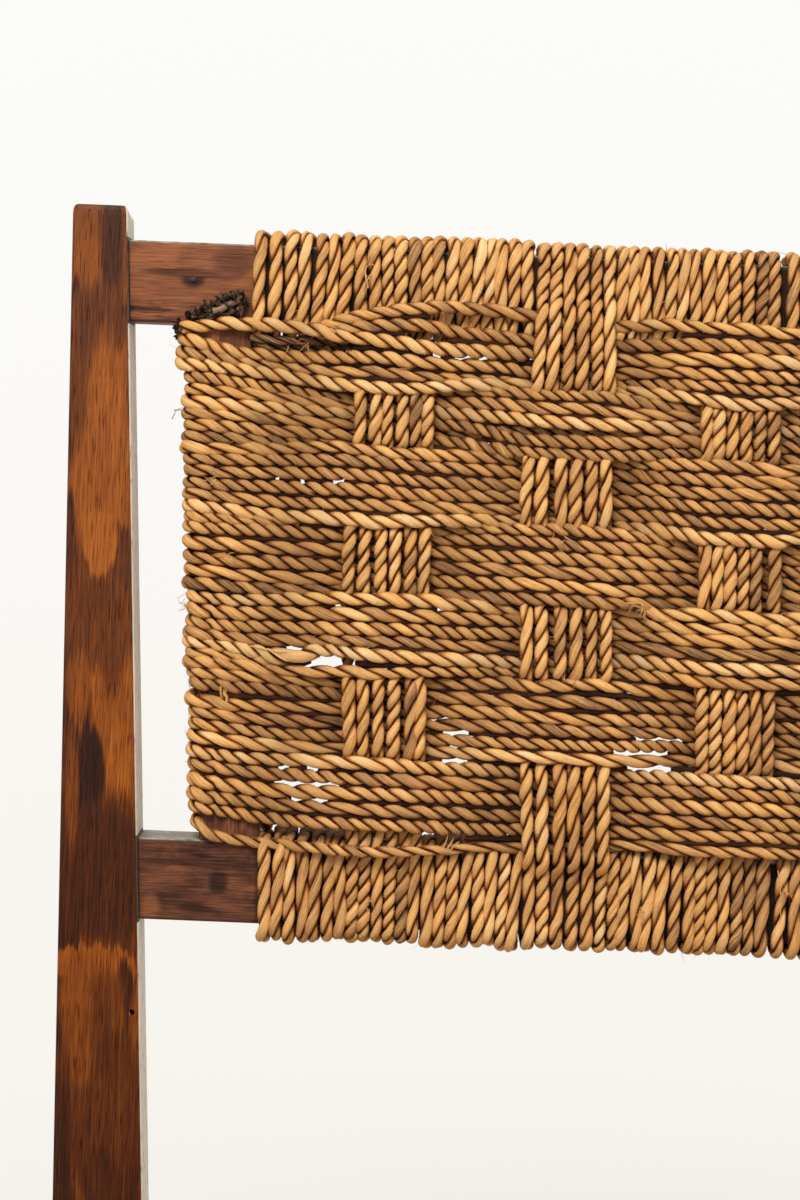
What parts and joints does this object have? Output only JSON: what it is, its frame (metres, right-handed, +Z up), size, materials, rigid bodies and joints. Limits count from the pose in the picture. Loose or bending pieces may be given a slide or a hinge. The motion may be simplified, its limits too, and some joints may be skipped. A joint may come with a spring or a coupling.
{
  "type": "cord-woven easy chair",
  "caption": "Low armless easy chair: tapered stained wood posts, legs and stretchers, with a reclined back and a seat woven in bands of twisted grass cord over wooden rails.",
  "frame": {"origin": "on the floor, under the middle of the chair's box", "axes": "+Z up, +Y towards the rear of the chair, +X towards the viewer's right when the chair is seen from the front"},
  "size_m": [0.5634, 0.6132, 0.8173],
  "materials": {
    "post_wood": "satin",
    "rail_wood": "satin",
    "weft_cord": "twisted grass cord",
    "warp_cord": "twisted grass cord",
    "winding_cord": "twisted grass cord",
    "dark_fibre": "frayed, blackened",
    "nail": "dull"
  },
  "bodies": {
    "root": {"post_left": "post_wood", "post_right": "post_wood", "front_leg_left": "post_wood", "front_leg_right": "post_wood", "side_rail_left": "rail_wood", "side_rail_right": "rail_wood", "side_stretcher_left": "rail_wood", "side_stretcher_right": "rail_wood", "cross_stretcher": "rail_wood", "back_stile_left": "rail_wood", "back_stile_right": "rail_wood", "back_rail_top": "rail_wood", "back_rail_bottom": "rail_wood", "seat_bar_left": "rail_wood", "seat_bar_right": "rail_wood", "seat_rail_rear": "rail_wood", "seat_rail_front": "rail_wood", "back_weft_1": "weft_cord", "back_weft_2": "weft_cord", "back_weft_3": "weft_cord", "back_weft_4": "weft_cord", "back_weft_5": "weft_cord", "back_weft_6": "weft_cord", "back_weft_7": "weft_cord", "seat_weft_1": "weft_cord", "seat_weft_2": "weft_cord", "seat_weft_3": "weft_cord", "seat_weft_4": "weft_cord", "seat_weft_5": "weft_cord", "seat_weft_6": "weft_cord", "seat_weft_7": "weft_cord", "seat_weft_8": "weft_cord", "seat_weft_9": "weft_cord", "seat_weft_10": "weft_cord", "seat_weft_11": "weft_cord", "seat_weft_12": "weft_cord", "seat_weft_13": "weft_cord", "back_warp_1": "warp_cord", "back_warp_2": "warp_cord", "back_warp_3": "warp_cord", "back_warp_4": "warp_cord", "back_warp_5": "warp_cord", "seat_warp_1": "warp_cord", "seat_warp_2": "warp_cord", "seat_warp_3": "warp_cord", "seat_warp_4": "warp_cord", "seat_warp_5": "warp_cord", "back_turns_left": "weft_cord", "back_turns_right": "weft_cord", "seat_turns_left": "weft_cord", "seat_turns_right": "weft_cord", "back_winding_top": "winding_cord", "back_winding_bottom": "winding_cord", "seat_winding_rear": "winding_cord", "seat_winding_front": "winding_cord", "cord_tuft": "dark_fibre", "cord_nail": "nail"}
  },
  "joints": []
}
